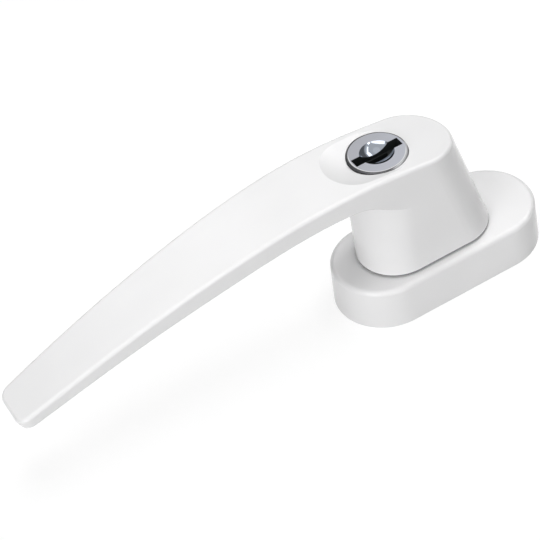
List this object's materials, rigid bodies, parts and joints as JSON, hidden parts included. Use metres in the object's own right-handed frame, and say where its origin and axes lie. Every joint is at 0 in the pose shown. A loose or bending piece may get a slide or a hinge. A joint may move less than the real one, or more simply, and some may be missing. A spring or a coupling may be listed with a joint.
{
  "type": "locking window handle",
  "caption": "Curved lever window handle on an oval rose, with a key-operated bolt in its hub and a square spindle socket.",
  "frame": {"origin": "On the spindle axis at the mounting face, the centre of the two fixing holes.", "axes": "+Z points out of the mounting face, +X runs along the rose; the lever points to -X when the window is closed."},
  "size_m": [0.1612, 0.03, 0.0511],
  "materials": {
    "white_powder_coat": "smooth white powder coat, satin gloss",
    "white_powder_coat_lever": "smooth white powder coat, satin gloss",
    "zinc_casting": "bare die casting",
    "nylon": "natural nylon",
    "spring_steel": "oiled spring steel",
    "plated_steel": "zinc plated steel",
    "brass": "turned brass",
    "nickel_plate": "satin nickel face with a polished dish"
  },
  "bodies": {
    "rose": {"mounting_plate": "zinc_casting", "bearing_bush": "nylon", "rose_cover": "white_powder_coat", "cover_guide_ring": "nylon", "detent_spring_front": "spring_steel", "detent_spring_rear": "spring_steel"},
    "lever": {"lever_handle": "white_powder_coat_lever", "drive_sleeve": "plated_steel", "detent_cam": "plated_steel", "retaining_washer": "plated_steel", "neck_circlip": "spring_steel", "lock_housing": "brass", "housing_dowel": "plated_steel", "plug_retaining_pin": "plated_steel"},
    "plug": {"lock_plug": "nickel_plate", "tumbler_springs": "spring_steel"},
    "tumbler_1": {"tumbler_1": "brass"},
    "tumbler_2": {"tumbler_2": "brass"},
    "tumbler_3": {"tumbler_3": "brass"},
    "tumbler_4": {"tumbler_4": "brass"},
    "bolt": {"locking_bolt": "plated_steel", "bolt_cross_pin": "plated_steel"}
  },
  "joints": [
    {"name": "lever_turn", "type": "hinge", "parent": "rose", "child": "lever", "pos_m": [0, 0, 0], "axis": [0, 0, 1], "range_deg": [0, 180], "deforming": ["detent_spring_front", "detent_spring_rear"]},
    {"name": "plug_turn", "type": "hinge", "parent": "lever", "child": "plug", "pos_m": [-0.014, 0, 0.0501], "axis": [0, 0, -1], "range_deg": [0, 90]},
    {"name": "bolt_slide", "type": "slide", "parent": "lever", "child": "bolt", "axis": [0, 0, -1], "range_m": [0, 0.007]},
    {"name": "tumbler_1_slide", "type": "slide", "parent": "plug", "child": "tumbler_1", "axis": [1, 0, 0], "range_m": [0, 0.0008], "deforming": ["tumbler_springs"]},
    {"name": "tumbler_2_slide", "type": "slide", "parent": "plug", "child": "tumbler_2", "axis": [-1, 0, 0], "range_m": [0, 0.0008], "deforming": ["tumbler_springs"]},
    {"name": "tumbler_3_slide", "type": "slide", "parent": "plug", "child": "tumbler_3", "axis": [1, 0, 0], "range_m": [0, 0.0008], "deforming": ["tumbler_springs"]},
    {"name": "tumbler_4_slide", "type": "slide", "parent": "plug", "child": "tumbler_4", "axis": [-1, 0, 0], "range_m": [0, 0.0008], "deforming": ["tumbler_springs"]}
  ],
  "couplings": [
    {"joint": "bolt_slide", "follows": "plug_turn", "m_per_rad": 0.0044563},
    {"joint": "tumbler_2_slide", "follows": "tumbler_1_slide", "ratio": 1},
    {"joint": "tumbler_3_slide", "follows": "tumbler_1_slide", "ratio": 1},
    {"joint": "tumbler_4_slide", "follows": "tumbler_1_slide", "ratio": 1}
  ]
}
